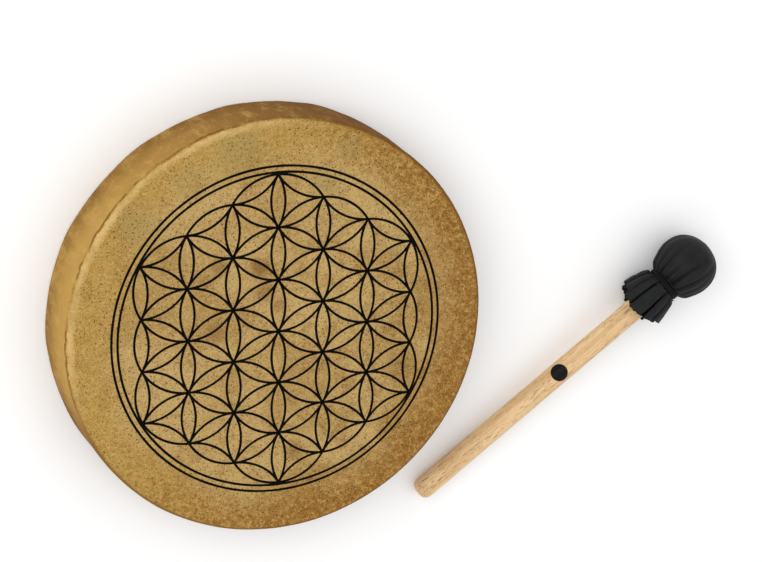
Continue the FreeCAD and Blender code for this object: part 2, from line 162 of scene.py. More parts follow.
def tube_along(points, radius, sides, closed=False):
    """Vertices and faces of a round tube whose middle follows points."""
    points = [Vector(point) for point in points]
    count = len(points)
    side = (points[1] - points[0]).orthogonal().normalized()
    vertices = []
    for index, point in enumerate(points):
        before = points[index - 1] if closed or index else point
        after = points[(index + 1) % count] if closed or index < count - 1 else point
        along = (after - before).normalized()
        side = (side - along * side.dot(along)).normalized()
        other = along.cross(side)
        for step in range(sides):
            angle = FULL_TURN * step / sides
            vertices.append(point + (side * math.cos(angle) + other * math.sin(angle)) * radius)
    faces = grid_faces(count, sides, closed)
    if not closed:
        faces.append(tuple(range(sides)))
        faces.append(tuple(range((count - 1) * sides, count * sides)))
    return vertices, faces


def joined(parts):
    """One list of vertices and one of faces from several."""
    vertices = []
    faces = []
    for more_vertices, more_faces in parts:
        start = len(vertices)
        vertices += more_vertices
        faces += [tuple(start + index for index in face) for face in more_faces]
    return vertices, faces


# ---------------------------------------------------------------- materials

LIGHT_LEVEL = 1.10


def colour(red, green, blue):
    """A colour given as display values from 0 to 255, as the linear values that a shader takes. The light
    is a little stronger than one, to make the pale floor white, and these values make up for it."""
    linear = [(part / 255 / 12.92) if part < 10.3 else ((part / 255 + 0.055) / 1.055) ** 2.4
              for part in (red, green, blue)]
    return (*(part / LIGHT_LEVEL for part in linear), 1.0)


class Value:
    """A number that a material works out at every point of a surface, for use in sums like any other."""

    def __init__(self, shader, socket):
        self.shader = shader
        self.socket = socket

    def __add__(self, other):
        return self.shader.maths("ADD", self, other)

    def __sub__(self, other):
        return self.shader.maths("SUBTRACT", self, other)

    def __rsub__(self, other):
        return self.shader.maths("SUBTRACT", other, self)

    def __mul__(self, other):
        return self.shader.maths("MULTIPLY", self, other)


class Shader:
    """A procedural material, written one node at a time. An input may be a number, a Value or a socket."""

    def __init__(self, name, **constants):
        self.material = bpy.data.materials.new(name)
        self.material.use_nodes = True
        self.tree = self.material.node_tree
        self.surface = self.tree.nodes["Principled BSDF"]
        self.coordinates = self.node("TexCoord").outputs["Object"]
        for socket, number in constants.items():
            self.surface.inputs[socket.replace("_", " ")].default_value = number

    def put(self, socket, value):
        if isinstance(value, Value):
            value = value.socket
        if isinstance(value, bpy.types.NodeSocket):
            self.tree.links.new(value, socket)
        else:
            socket.default_value = value

    def node(self, kind, **inputs):
        made = self.tree.nodes.new("ShaderNode" + kind)
        for name, value in inputs.items():
            self.put(made.inputs[name.replace("_", " ")], value)
        return made

    def drive(self, name, value):
        """Links a value to one of the surface's own inputs."""
        self.put(self.surface.inputs[name], value)

    def maths(self, operation, *values):
        made = self.tree.nodes.new("ShaderNodeMath")
        made.operation = operation
        for socket, value in zip(made.inputs, values):
            self.put(socket, value)
        return Value(self, made.outputs[0])

    def steps(self, value, low, high, to_low=0.0, to_high=1.0):
        """A smooth change from to_low to to_high as value goes from low to high."""
        made = self.node("MapRange", Value=value, From_Min=low, From_Max=high, To_Min=to_low,
                         To_Max=to_high)
        made.interpolation_type = "SMOOTHSTEP"
        return Value(self, made.outputs[0])

    def noise(self, coordinates, scale, detail=3.0, roughness=0.5, distortion=0.0):
        made = self.node("TexNoise", Vector=coordinates, Scale=scale, Detail=detail, Roughness=roughness,
                         Distortion=distortion)
        return Value(self, made.outputs[0])

    def cells(self, coordinates, scale, dimensions="3D"):
        """The distance from the nearest of many scattered points."""
        made = self.tree.nodes.new("ShaderNodeTexVoronoi")
        made.voronoi_dimensions = dimensions
        self.put(made.inputs["Vector"], coordinates)
        self.put(made.inputs["Scale"], scale)
        return Value(self, made.outputs["Distance"])

    def blend(self, share, first, second):
        """A mix of two tones, each of which is a socket or three display values."""
        made = self.tree.nodes.new("ShaderNodeMix")
        made.data_type = "RGBA"
        self.put(made.inputs[0], share)
        for index, tone in ((6, first), (7, second)):
            self.put(made.inputs[index], colour(*tone) if isinstance(tone, tuple) else tone)
        return made.outputs[2]

    def tint(self, tone, pattern, low, high, strength, other):
        """The tone turned towards another, by up to strength as a pattern goes from low to high."""
        return self.blend(self.steps(pattern, low, high, 0, strength), tone, other)

    def seen_from(self, matrix, stretch=(1, 1, 1)):
        """The coordinates in a frame of the object's own, divided by stretch along each of its axes."""
        made = self.tree.nodes.new("ShaderNodeMapping")
        made.vector_type = "TEXTURE"
        self.put(made.inputs["Vector"], self.coordinates)
        self.put(made.inputs["Location"], matrix.to_translation())
        self.put(made.inputs["Rotation"], matrix.to_euler())
        self.put(made.inputs["Scale"], stretch)
        return made.outputs[0]

    def parts(self, vector):
        return [Value(self, output) for output in self.node("SeparateXYZ", Vector=vector).outputs]

    def distance(self, vector, centre):
        """How far a point is from a centre."""
        made = self.tree.nodes.new("ShaderNodeVectorMath")
        made.operation = "DISTANCE"
        self.put(made.inputs[0], vector)
        self.put(made.inputs[1], centre)
        return Value(self, made.outputs["Value"])

    def finish(self, tone, shine, smoothest, roughest, bumps, depth):
        """Sets the colour, a roughness that follows one pattern and a relief that follows another."""
        self.drive("Base Color", tone)
        self.drive("Roughness", self.steps(shine, 0.3, 0.7, smoothest, roughest))
        self.drive("Normal", self.relief(bumps, depth))
        return self.material

    def relief(self, height, depth, beneath=None):
        """A normal from a height between 0 and 1, for a relief of that depth in metres."""
        made = self.node("Bump", Height=height, Distance=depth, Strength=1.0)
        if beneath is not None:
            self.put(made.inputs["Normal"], beneath)
        return made.outputs[0]


DRUM_FRAME = Matrix.Translation(DRUM_CENTRE)


def beater_frame():
    """Axis x from the butt to the tip, with the head's middle as origin and z as nearly up as it can be."""
    side = UP.cross(BEATER_AXIS).normalized()
    upper = BEATER_AXIS.cross(side)
    turn = Matrix((BEATER_AXIS, side, upper)).transposed()
    return Matrix.Translation(HEAD_CENTRE) @ turn.to_4x4()


BEATER_FRAME = beater_frame()


def around_beater(along, radius, angle):
    """A point at a distance and an angle from the beater's axis."""
    return BEATER_FRAME @ Vector((along, radius * math.cos(angle), radius * math.sin(angle)))


def flattened_hide(shader):
    """The place that a point of the hide had when it was one flat round sheet, from the drum's axis, and
    its distance from that axis. It runs on over the edge and down the side without a seam."""
    x, y, height = shader.parts(shader.seen_from(DRUM_FRAME))
    radius = shader.distance(shader.seen_from(DRUM_FRAME, (1, 1, 1e6)), (0, 0, 0))
    flat_radius = radius + shader.maths("MAXIMUM", DRUM_DEPTH - height, 0.0)
    growth = shader.maths("DIVIDE", flat_radius, shader.maths("MAXIMUM", radius, 1 * MM))
    flat = shader.node("CombineXYZ", X=x * growth, Y=y * growth)
    return flat.outputs[0], flat_radius


def hide_material():
    """Tanned hide: olive tan in the middle, yellower to the left and browner to the right, partly its own
    tone and partly painted light from the left, and browner along the foot, with clouds, flecks, pores and
    stains, a painted highlight on the line where it bends over the hoop, and painted shade beside it and
    on the side away from the light."""
    shader = Shader("hide", Specular_IOR_Level=0.05, Specular_Tint=(0.75, 0.5, 0.22, 1))
    flat, flat_radius = flattened_hide(shader)
    clouds = shader.noise(flat, 13, 4, 0.6, 0.5)
    mottle = shader.noise(flat, 62, 7, 0.68, 0.6)
    grit = shader.noise(flat, 1100, 2, 0.6)

    # the slow change of tone from left to right, partly the hide's own and partly painted light from the
    # left, and from the middle outwards
    x, y = shader.parts(flat)[:2]
    lean = x * 0.85 - y * 0.45 + clouds * 0.10
    outward = shader.steps(flat_radius + clouds * 0.05, 0.155, 0.205)
    outside = shader.blend(shader.steps(lean, -0.06, 0.19), (181, 145, 76), (150, 105, 45))
    middle = shader.blend(shader.steps(clouds, 0.40, 0.62), (188, 158, 101), (171, 139, 83))
    tone = shader.blend(outward, middle, outside)

    tone = add_mottling(shader, tone, flat, lean, mottle, grit)
    tone = add_marbling(shader, tone, flat, lean, outward)
    tone = add_stains(shader, tone, flat, mottle)
    tone, pores = add_pores(shader, tone, flat)
    tone = side_and_edge(shader, tone, flat_radius)
    shader.drive("Base Color", tone)
    shader.drive("Roughness", shader.steps(mottle, 0.3, 0.7, 0.68, 0.80))
    grain = shader.relief(grit, 0.10 * MM)
    pits = shader.relief(1.0 - pores, 0.10 * MM, grain)
    shader.drive("Normal", shader.relief(mottle, 0.5 * MM, pits))
    return shader.material


def add_mottling(shader, tone, flat, lean, mottle, grit):
    """Mottling, which is browner towards the right, partly as painted shade away from the light, with pale
    and dark flecks and grit over it.
    """
    flecks = shader.noise(flat, 330, 5, 0.65)
    # brown mottling, stronger to the right as painted shade away from the light
    mottle_and_shade = shader.steps(mottle, 0.46, 0.66) * shader.steps(lean, -0.05, 0.20, 0.28, 0.62)
    tone = shader.blend(mottle_and_shade, tone, (132, 92, 40))
    tone = shader.tint(tone, mottle, 0.47, 0.30, 0.30, (204, 168, 100))
    tone = shader.tint(tone, flecks, 0.52, 0.68, 0.52, (214, 180, 114))
    tone = shader.tint(tone, flecks, 0.48, 0.33, 0.48, (122, 84, 34))
    tone = shader.tint(tone, grit, 0.50, 0.68, 0.45, (98, 66, 26))
    return shader.tint(tone, grit, 0.48, 0.32, 0.36, (226, 194, 130))


def add_marbling(shader, tone, flat, lean, outward):
    """The marbling of the thicker hide near the edge."""
    marbling = shader.noise(flat, 175, 8, 0.78, 0.3)
    coarse = outward * shader.steps(lean, -0.06, 0.10, 0.25, 1.0)
    dark_veins = shader.steps(marbling, 0.52, 0.40, 0, 0.66) * coarse
    pale_veins = shader.steps(marbling, 0.52, 0.64, 0, 0.52) * coarse
    tone = shader.blend(dark_veins, tone, (116, 76, 30))
    return shader.blend(pale_veins, tone, (206, 170, 108))


def add_pores(shader, tone, flat):
    """Pores, fine and close everywhere, with a few larger ones: the tone and how deep a pore is."""
    patchy = shader.steps(shader.noise(flat, 32, 3, 0.6), 0.36, 0.60, 0.35, 0.95)
    fine_pores = shader.steps(shader.cells(flat, 330, "2D"), 0.18, 0.10)
    large_pores = shader.steps(shader.cells(flat, 150, "2D"), 0.12, 0.07)
    pores = shader.maths("MAXIMUM", fine_pores * 0.70, large_pores)
    return shader.blend(pores * patchy, tone, (92, 62, 28)), pores


def side_and_edge(shader, tone, flat_radius):
    """Darkens the side towards the foot, in streaks along the drum's axis, with painted light on its left
    and painted shade on its right, darkest at its top right. Draws a painted highlight as a pale line over
    the hoop's edge and painted shade as a broken dark line in the crease outside it, both strongest at the
    upper left, towards the light, and painted shade on the rounding of the rim away from the light."""
    place = shader.seen_from(DRUM_FRAME)
    x, y, height = shader.parts(place)
    streaks = shader.noise(shader.seen_from(DRUM_FRAME, (1, 1, 2)), 85, 8, 0.72, 0.3)
    on_side = shader.steps(flat_radius, DRUM_RADIUS - 4 * MM, DRUM_RADIUS + 3 * MM)
    # painted light and shade: the side paler to the left, towards the light, and darker to the right
    shade = x * 0.95 + y * 0.30
    side_tone = shader.blend(shader.steps(shade, -0.16, 0.05), (192, 150, 78), (150, 108, 52))
    # painted shade: the side's top right, away from the light, darker still
    shaded_far_side = shader.steps(x, -0.09, 0.02) * shader.steps(y, 0.05, 0.15)
    side_tone = shader.blend(shaded_far_side, side_tone, (118, 76, 28))
    side_tone = shader.tint(side_tone, streaks, 0.50, 0.66, 0.55, (206, 166, 92))
    low = shader.steps(height, 0.048, 0.004, 0.05, 0.90) * shader.steps(streaks, 0.36, 0.62, 0.85, 0.30)
    side_tone = shader.blend(low, side_tone, (104, 64, 24))
    tone = shader.blend(on_side * 0.78, tone, side_tone)

    # how far a point lies towards the upper left, where the light comes from
    towards_light = shader.steps(y * 0.66 - x * 0.75, 0.06, 0.17)
    broken = shader.noise(place, 70, 4, 0.65)
    patches = shader.noise(place, 31, 6, 0.75)
    wandering = flat_radius + (broken - 0.5) * (9 * MM)
    off_ridge = shader.maths("ABSOLUTE", wandering - (DRUM_RADIUS - 4.2 * MM))
    # painted highlight: a pale broken line on the ridge over the hoop's edge, only towards the light
    worn = shader.steps(off_ridge, 5.5 * MM, 0.5 * MM) * shader.steps(patches, 0.38, 0.60, 0.25, 0.68)
    tone = shader.blend(worn * towards_light, tone, (220, 188, 126))
    # painted shade: a broken dark line in the crease outside the ridge, fainter away from the light
    off_crease = shader.maths("ABSOLUTE", wandering - (DRUM_RADIUS + 1.0 * MM))
    crease = shader.steps(off_crease, 2.4 * MM, 0.5 * MM) * shader.steps(patches, 0.40, 0.56, 0.12, 0.78)
    tone = shader.blend(crease * shader.steps(towards_light, 0, 1, 0.45, 1), tone, (104, 68, 28))
    # painted shade: the rounding of the rim darker where it turns away from the light
    painted_rim_shade = shader.steps(flat_radius, DRUM_RADIUS - 4.5 * MM, DRUM_RADIUS - 0.5 * MM)
    return shader.blend(painted_rim_shade * shader.steps(towards_light, 0, 0.6, 0.60, 0), tone, (108, 68, 26))


# Stains of the hide, placed against the printed pattern. Each has a column and a row of the
# pattern's lattice, a radius in circles and a strength.
BROWN_STAINS = [
    (-0.4, 1.25, 0.30, 0.70),
    (-0.3, 0.8, 0.28, 0.55),
    (-1.3, 1.35, 0.25, 0.50),
    (-1.6, 1.1, 0.20, 0.35),
    (-1.4, 0.1, 0.32, 0.45),
    (0.0, 0.5, 0.22, 0.40),
    (0.35, -2.4, 0.28, 0.50),
    (2.75, -1.0, 0.45, 0.30),
    (2.6, 1.25, 0.25, 0.30),
]
OLIVE_STAINS = [
    (-0.8, 3.5, 0.70, 0.50),
    (-1.9, 3.0, 0.50, 0.30),
    (-3.1, 2.3, 0.60, 0.45),
    (1.0, 2.7, 0.40, 0.40),
    (1.6, 3.4, 0.35, 0.45),
]


def lattice_place(column, row):
    """Where a column and a row of the pattern's lattice meet on the head, from the drum's axis."""
    place = Vector((column * math.cos(math.radians(30)), row, 0)) * CIRCLE_RADIUS
    return Matrix.Rotation(PATTERN_TURN, 3, "Z") @ place + PATTERN_OFFSET


def add_stains(shader, tone, flat, mottle):
    """Brown and olive stains with ragged edges."""
    for stains, stain_tone in ((BROWN_STAINS, (118, 76, 36)), (OLIVE_STAINS, (154, 136, 84))):
        for column, row, circles, strength in stains:
            radius = circles * CIRCLE_RADIUS
            away = shader.distance(flat, lattice_place(column, row)) + (mottle - 0.5) * (1.6 * radius)
            tone = shader.tint(tone, away, radius, 0.2 * radius, strength, stain_tone)
    return tone


def ink_material():
    shader = Shader("ink", Specular_IOR_Level=0.05)
    wear = shader.noise(shader.coordinates, 420, 3, 0.6)
    tone = shader.blend(shader.steps(wear, 0.45, 0.8), (5, 4, 3), (20, 14, 8))
    return shader.finish(tone, wear, 0.70, 0.85, wear, 0.08 * MM)


def stick_material():
    """Straight-grained hardwood: soft bands, fine streaks and dark open pores along the stick."""
    shader = Shader("stick_wood", Specular_IOR_Level=0.4)
    bands = shader.noise(shader.seen_from(BEATER_FRAME, (9, 1, 1)), 150, 3, 0.55, 0.3)
    streaks = shader.noise(shader.seen_from(BEATER_FRAME, (30, 1, 1)), 800, 4, 0.7)
    dashes = shader.noise(shader.seen_from(BEATER_FRAME, (12, 1, 1)), 1450, 2, 0.5)
    rows = shader.noise(shader.seen_from(BEATER_FRAME, (12, 1, 1)), 260, 2, 0.5)
    tone = shader.blend(shader.steps(bands, 0.35, 0.68), (232, 196, 146), (214, 174, 120))
    tone = shader.tint(tone, streaks, 0.45, 0.75, 0.55, (240, 208, 162))
    tone = shader.tint(tone, streaks, 0.50, 0.30, 0.70, (188, 142, 88))
    pores = shader.steps(dashes, 0.59, 0.64) * shader.steps(rows, 0.42, 0.58, 0.35, 1.0)
    tone = shader.blend(pores, tone, (128, 84, 40))
    shader.drive("Base Color", tone)
    shader.drive("Roughness", shader.steps(streaks, 0.3, 0.7, 0.42, 0.58))
    grain = shader.relief(streaks, 0.06 * MM)
    shader.drive("Normal", shader.relief(1.0 - pores, 0.10 * MM, grain))
    return shader.material


def cover_material():
    """Thin black leather: a fine grain, with a dull shine that varies, and painted shade in its folds."""
    shader = Shader("cover_leather", Specular_IOR_Level=0.16)
    place = shader.coordinates
    cells = shader.cells(place, 900)
    soft = shader.noise(place, 90, 4, 0.6)
    tone = shader.blend(shader.steps(soft, 0.3, 0.75), (22, 23, 24), (33, 34, 35))
    tone = shader.tint(tone, cells, 0.45, 0.75, 0.5, (16, 16, 17))
    # painted shade in the folds of the gathered leather, read from the depth that each vertex stores
    fold_shade = shader.node("Attribute")
    fold_shade.attribute_name = "fold"
    tone = shader.tint(tone, fold_shade.outputs["Fac"], 0.10, 0.70, 1, (7, 7, 8))
    shader.drive("Base Color", tone)
    shader.drive("Roughness", shader.steps(soft, 0.3, 0.7, 0.50, 0.64))
    grain = shader.relief(1.0 - cells, 0.07 * MM)
    shader.drive("Normal", shader.relief(shader.noise(place, 320, 3, 0.6), 0.15 * MM, grain))
    return shader.material


def cord_material(name, dark, light, frame_matrix):
    """Twisted waxed cord or lace: fibres that vary from dark to light."""
    shader = Shader(name, Specular_IOR_Level=0.18)
    place = shader.seen_from(frame_matrix)
    fibres = shader.noise(place, 1400, 3, 0.7)
    clouds = shader.noise(place, 120, 3, 0.6)
    tone = shader.blend(shader.steps(fibres, 0.3, 0.7), dark, light)
    tone = shader.tint(tone, clouds, 0.5, 0.8, 0.5, dark)
    return shader.finish(tone, clouds, 0.5, 0.7, fibres, 0.12 * MM)


def hoop_material():
    """Pale veneer whose grain runs round the hoop."""
    shader = Shader("hoop_wood", Specular_IOR_Level=0.35)
    place = shader.seen_from(DRUM_FRAME)
    across, up, height = shader.parts(place)
    angle = shader.maths("ARCTAN2", up, across) * 0.03
    radius = shader.distance(shader.seen_from(DRUM_FRAME, (1, 1, 1e6)), (0, 0, 0))
    grain_place = shader.node("CombineXYZ", X=angle, Y=radius, Z=height).outputs[0]
    grain = shader.noise(grain_place, 420, 5, 0.65, 0.4)
    figure = shader.noise(grain_place, 70, 3, 0.55, 0.8)
    tone = shader.blend(shader.steps(figure, 0.35, 0.7), (214, 178, 128), (190, 150, 100))
    tone = shader.tint(tone, grain, 0.5, 0.75, 0.5, (166, 122, 76))
    return shader.finish(tone, grain, 0.45, 0.62, grain, 0.08 * MM)


def suede_material():
    shader = Shader("wrap_suede", Specular_IOR_Level=0.2, Sheen_Weight=0.4, Sheen_Roughness=0.6)
    nap = shader.noise(shader.coordinates, 1100, 4, 0.7)
    brushed = shader.noise(shader.coordinates, 130, 3, 0.6)
    tone = shader.blend(shader.steps(nap, 0.3, 0.7), (88, 58, 38), (122, 84, 56))
    tone = shader.tint(tone, brushed, 0.45, 0.7, 0.5, (72, 46, 30))
    return shader.finish(tone, brushed, 0.85, 0.95, nap, 0.15 * MM)


def steel_material():
    """Drawn steel wire with fine scratches."""
    shader = Shader("ring_steel", Metallic=1.0)
    scratches = shader.noise(shader.seen_from(DRUM_FRAME, (1, 1, 8)), 900, 3, 0.7)
    tone = shader.blend(scratches, (186, 186, 184), (214, 214, 212))
    return shader.finish(tone, scratches, 0.22, 0.40, scratches, 0.02 * MM)


def badge_material():
    """A plain black lacquered disc."""
    shader = Shader("badge_black", Specular_IOR_Level=0.12)
    speckle = shader.noise(shader.coordinates, 600, 3, 0.6)
    tone = shader.blend(speckle, (9, 9, 9), (17, 17, 17))
    return shader.finish(tone, speckle, 0.40, 0.52, speckle, 0.02 * MM)


def rubber_material():
    shader = Shader("core_rubber", Specular_IOR_Level=0.4)
    bloom = shader.noise(shader.coordinates, 240, 4, 0.6)
    tone = shader.blend(bloom, (46, 44, 43), (66, 63, 60))
    return shader.finish(tone, bloom, 0.6, 0.8, bloom, 0.1 * MM)


def felt_material():
    shader = Shader("padding_felt", Specular_IOR_Level=0.15, Sheen_Weight=0.5, Sheen_Roughness=0.7)
    fibres = shader.noise(shader.coordinates, 700, 5, 0.75, 1.2)
    tone = shader.blend(fibres, (176, 170, 156), (214, 209, 196))
    return shader.finish(tone, fibres, 0.88, 0.97, fibres, 0.4 * MM)


# ---------------------------------------------------------------- the hide

HIDE_COLUMNS = 384
COARSE_RINGS = 29
COARSE_STEP = 6 * MM
FINE_RINGS = (8.5, 6, 4, 2.6, 1.6, 0.8, 0)
HEAD_RINGS = COARSE_RINGS + len(FINE_RINGS)
FULL_COLUMNS_FROM = 100 * MM
HOLE_ROWS = 5
HOLE_ROW_STEP = 2.4 * MM
HOLE_HALF = 2
COLUMNS_PER_HOLE = HIDE_COLUMNS // LACE_HOLES
BELLY_ANGLE = math.radians(172)


def head_relief(x, y):
    """How far the stretched head stands above its lowest level, for a point from the drum's axis."""
    slow = 0.5 + 0.5 * smooth_noise(x / 0.11, y / 0.11, 3.1)
    quick = 0.5 + 0.5 * smooth_noise(x / 0.045, y / 0.045, 8.7)
    return 0.35 * MM * slow + 0.12 * MM * quick


def side_bulge(angle, height):
    """How far the side stands out: bellied towards the foot at the left, pulled into soft corners by the
    lacing, and a little uneven all over."""
    around = (3 * math.cos(angle), 3 * math.sin(angle))
    uneven = 0.45 * MM * (0.6 + smooth_noise(*around, height / 0.05))
    corner = abs(math.cos(7 * angle + 0.6 * math.sin(angle))) ** 6
    low = 1 - smooth_step(0.0, 0.045, height)
    pulls = 0.18 * MM * smooth_noise(14 * math.cos(angle), 14 * math.sin(angle), height / 0.08)
    belly = 3.2 * MM * bell(angle - BELLY_ANGLE, math.radians(38)) * (1 - smooth_step(0.0, 0.058, height))
    return uneven + 0.8 * MM * corner * low + pulls + belly


def edge_ridge(angle, radius):
    """The raised line that the hoop's bearing edge presses into the hide."""
    strength = 0.45 + 0.4 * smooth_noise(4 * math.cos(angle), 4 * math.sin(angle), 5.0)
    return strength * MM * bell(radius - (DRUM_RADIUS - EDGE_ROUNDING + 0.8 * MM), 1.6 * MM)


def quarter(centre_radius, centre_height, radius, start, end, steps):
    """Points on an arc of the hide's outline, without its first."""
    points = []
    for step in range(1, steps + 1):
        angle = math.radians(start + (end - start) * step / steps)
        points.append((centre_radius + radius * math.cos(angle), centre_height + radius * math.sin(angle)))
    return points


def spaced(start, end, steps):
    """Points on a straight stretch of the outline, without its first."""
    return [(start[0] + (end[0] - start[0]) * step / steps, start[1] + (end[1] - start[1]) * step / steps)
            for step in range(1, steps + 1)]


def hide_outline():
    """The hide's outer outline as (radius, height), from the middle of the head to the lip under it."""
    flat_end = DRUM_RADIUS - EDGE_ROUNDING
    head = [(COARSE_STEP * step, DRUM_DEPTH) for step in range(1, COARSE_RINGS + 1)]
    head += [(flat_end - back * MM, DRUM_DEPTH) for back in FINE_RINGS]
    side_top = (DRUM_RADIUS, DRUM_DEPTH - EDGE_ROUNDING)
    edge = quarter(flat_end, side_top[1], EDGE_ROUNDING, 90, 0, 7)
    side = spaced(side_top, (DRUM_RADIUS, FOOT_ROUNDING), 22)
    foot = quarter(DRUM_RADIUS - FOOT_ROUNDING, FOOT_ROUNDING, FOOT_ROUNDING, 0, -90, 5)
    under = spaced(foot[-1], (FLANGE_START, 0), 4)
    rise = [(FLANGE_START + (FLANGE_LEVEL - FLANGE_START) * share, FLANGE_RISE * smooth_step(0, 1, share))
            for share in (0.15, 0.3, 0.45, 0.6, 0.75, 0.9)]
    holes = [(LACE_CIRCLE + (HOLE_HALF - row) * HOLE_ROW_STEP, FLANGE_RISE) for row in range(HOLE_ROWS)]
    return head + edge + side + foot + under + rise + holes + [(LIP_RADIUS, FLANGE_RISE)]


def inner_outline(outline):
    """The same outline, one thickness of hide further in."""
    points = [(0.0, outline[0][1])] + outline
    inside = []
    for index in range(1, len(points)):
        before = points[index - 1]
        after = points[min(index + 1, len(points) - 1)]
        run = (after[0] - before[0], after[1] - before[1])
        length = math.hypot(*run)
        normal = (-run[1] / length, run[0] / length)
        here = points[index]
        inside.append((here[0] - normal[0] * SKIN_THICKNESS, here[1] - normal[1] * SKIN_THICKNESS))
    return inside


def columns_at(radius):
    """How many vertices a ring of the hide has: half as many each time that its radius halves. The radius
    is rounded, so that both faces of the hide count alike."""
    halvings = max(0, math.ceil(math.log2(FULL_COLUMNS_FROM / round(radius, 6))))
    return HIDE_COLUMNS >> halvings


def join_rings(outer, inner):
    """Faces between two rings of which the first has as many vertices as the second, or twice as many."""
    faces = []
    if len(outer) == len(inner):
        for index, start in enumerate(outer):
            following = (index + 1) % len(outer)
            faces.append((start, outer[following], inner[following], inner[index]))
        return faces
    for index, start in enumerate(inner):
        first, second, third = (outer[(2 * index + step) % len(outer)] for step in range(3))
        faces.append((first, second, start))
        faces.append((second, third, inner[(index + 1) % len(inner)], start))
    return faces


def hole_columns():
    """The column at the middle of each lace hole."""
    return range(COLUMNS_PER_HOLE // 2, HIDE_COLUMNS, COLUMNS_PER_HOLE)


def hole_block(rows, column):
    """The vertices round a lace hole, in order: the border of a square of the grid."""
    low, high = column - HOLE_HALF, column + HOLE_HALF
    last = HOLE_ROWS - 1
    border = [(0, c) for c in range(low, high)] + [(r, high) for r in range(last)]
    border += [(last, c) for c in range(high, low, -1)] + [(r, low) for r in range(last, 0, -1)]
    return [rows[r][c] for r, c in border]


def hide_surface(outline, outer, vertices, faces):
    """Adds one face of the hide and returns its last ring and the rim of each lace hole."""
    rings = []
    for number, (radius, height) in enumerate(outline):
        count = columns_at(radius) if number < COARSE_RINGS else HIDE_COLUMNS
        ring = []
        for index in range(count):
            angle = FULL_TURN * index / count
            ring.append(len(vertices))
            vertices.append(hide_point(angle, radius, height, number, outer))
        rings.append(ring)
    middle = len(vertices)
    vertices.append(hide_point(0, 0, outline[0][1], 0, outer))
    first = rings[0]
    faces += [(first[index], first[(index + 1) % len(first)], middle) for index in range(len(first))]
    rows = rings[-HOLE_ROWS - 1:-1]
    for inner, larger in zip(rings[:-HOLE_ROWS - 1], rings[1:-HOLE_ROWS]):
        faces += join_rings(larger, inner)
    open_columns = {column + step for column in hole_columns() for step in range(-HOLE_HALF, HOLE_HALF)}
    for upper, lower in zip(rows, rows[1:]):
        for index, face in enumerate(join_rings(upper, lower)):
            if index not in open_columns:
                faces.append(face)
    faces += join_rings(rows[-1], rings[-1])
    rims = [add_rim(vertices, faces, hole_block(rows, column)) for column in hole_columns()]
    return rings[-1], rims


def hide_point(angle, radius, height, number, outer):
    """A vertex of the hide, with its relief if it is on the outer face."""
    flat_end = DRUM_RADIUS - EDGE_ROUNDING
    if outer and number < HEAD_RINGS:
        height += head_relief(radius * math.cos(angle), radius * math.sin(angle))
        height += edge_ridge(angle, radius)
    elif outer and radius > FLANGE_START:
        share = smooth_step(DRUM_DEPTH, DRUM_DEPTH - EDGE_ROUNDING, height)
        share *= smooth_step(FLANGE_START, DRUM_RADIUS - FOOT_ROUNDING, radius)
        relief = head_relief(flat_end * math.cos(angle), flat_end * math.sin(angle))
        relief += edge_ridge(angle, radius)
        height += (1 - smooth_step(DRUM_DEPTH, DRUM_DEPTH - EDGE_ROUNDING, height)) * relief
        radius += share * side_bulge(angle, height)
    if number == len(HIDE_OUTLINE) - 1:
        radius += 1.8 * MM * (0.5 + 0.5 * math.cos(LACE_HOLES * angle))
    return (DRUM_CENTRE.x + radius * math.cos(angle), DRUM_CENTRE.y + radius * math.sin(angle), height)


def add_rim(vertices, faces, border):
    """Cuts a round hole inside a square of the grid, and returns the vertices of its rim."""
    centre = sum((Vector(vertices[index]) for index in border), Vector()) / len(border)
    rim = []
    for index in border:
        away = (Vector(vertices[index]) - centre).normalized()
        rim.append(len(vertices))
        vertices.append(tuple(centre + away * LACE_HOLE))
    faces += join_rings(border, rim)
    return rim


HIDE_OUTLINE = hide_outline()


def make_hide(material):
    """The whole hide as one closed skin: head, side and laced edge."""
    vertices = []
    faces = []
    outer_lip, outer_rims = hide_surface(HIDE_OUTLINE, True, vertices, faces)
    inner_lip, inner_rims = hide_surface(inner_outline(HIDE_OUTLINE), False, vertices, faces)
    faces += join_rings(outer_lip, inner_lip)
    for outer_rim, inner_rim in zip(outer_rims, inner_rims):
        faces += join_rings(outer_rim, inner_rim)
    hide = mesh_object("hide_head_and_side", vertices, faces)
    return finish_piece(hide, "drum", "hide", material, "drum_skin")


# ---------------------------------------------------------------- the printed pattern

LINE_SINKS = 0.15 * MM
LINE_STANDS = 0.10 * MM
ARC_TURN = math.radians(60)
ARC_STEPS = 18
RING_STEPS = 240

# Lines that cross lie at slightly different heights, so that no two faces share a plane.
LIFT_STEP = 0.004 * MM
LIFT_LEVELS = 6
RING_LIFT = 0.03 * MM
SAME_PLACE = 0.01


def lattice():
    """The points of the triangular lattice, in units of the circles' radius."""
    first = Vector((math.cos(math.radians(30)), math.sin(math.radians(30))))
    second = Vector((0, 1))
    span = range(-LATTICE_RINGS, LATTICE_RINGS + 1)
    return [first * a + second * b for a in span for b in span if abs(a + b) <= LATTICE_RINGS]


